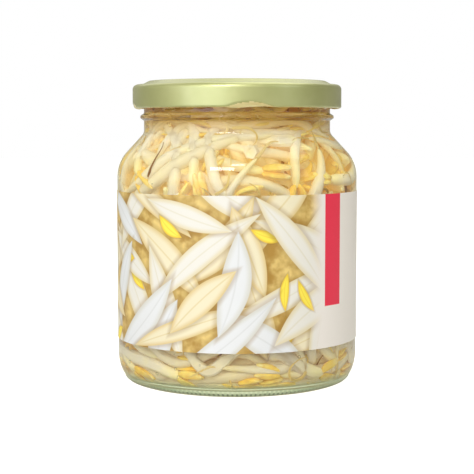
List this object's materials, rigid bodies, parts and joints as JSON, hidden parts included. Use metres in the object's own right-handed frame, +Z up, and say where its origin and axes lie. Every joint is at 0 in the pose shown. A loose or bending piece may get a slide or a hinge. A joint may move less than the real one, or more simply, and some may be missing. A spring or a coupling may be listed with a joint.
{
  "type": "jar of bean sprouts",
  "caption": "Round glass jar packed with bean sprouts in brine, with a wrap-round paper label and a screw-on tinplate lid.",
  "frame": {"origin": "middle of the foot, on the surface that the jar stands on", "axes": "+Z up the jar's axis to the lid; -Y is the label's front, +X to its right"},
  "size_m": [0.0804, 0.0802, 0.0989],
  "materials": {
    "clear_glass": "clear soda-lime glass, pale green where it is thick",
    "lacquered_tinplate": "satin gold-green lacquer on stamped tinplate",
    "sealing_compound": "soft cream sealing compound",
    "label_paper": "printed coated paper",
    "brine": "clear amber liquid",
    "bean_sprouts": "wet ivory stems with pale yellow seed leaves"
  },
  "bodies": {
    "jar": {"jar": "clear_glass", "label": "label_paper", "brine": "brine", "sprouts": "bean_sprouts"},
    "seal": {"lid_seal": "sealing_compound"},
    "lid": {"lid": "lacquered_tinplate"}
  },
  "joints": [
    {"name": "lid_rise", "type": "slide", "parent": "jar", "child": "seal", "axis": [0, 0, 1], "range_m": [0, 0.00231]},
    {"name": "lid_turn", "type": "hinge", "parent": "seal", "child": "lid", "pos_m": [0, 0, 0.0899], "axis": [0, 0, 1], "range_deg": [0, 60]}
  ],
  "couplings": [
    {"joint": "lid_rise", "follows": "lid_turn", "m_per_rad": 0.0022027}
  ]
}
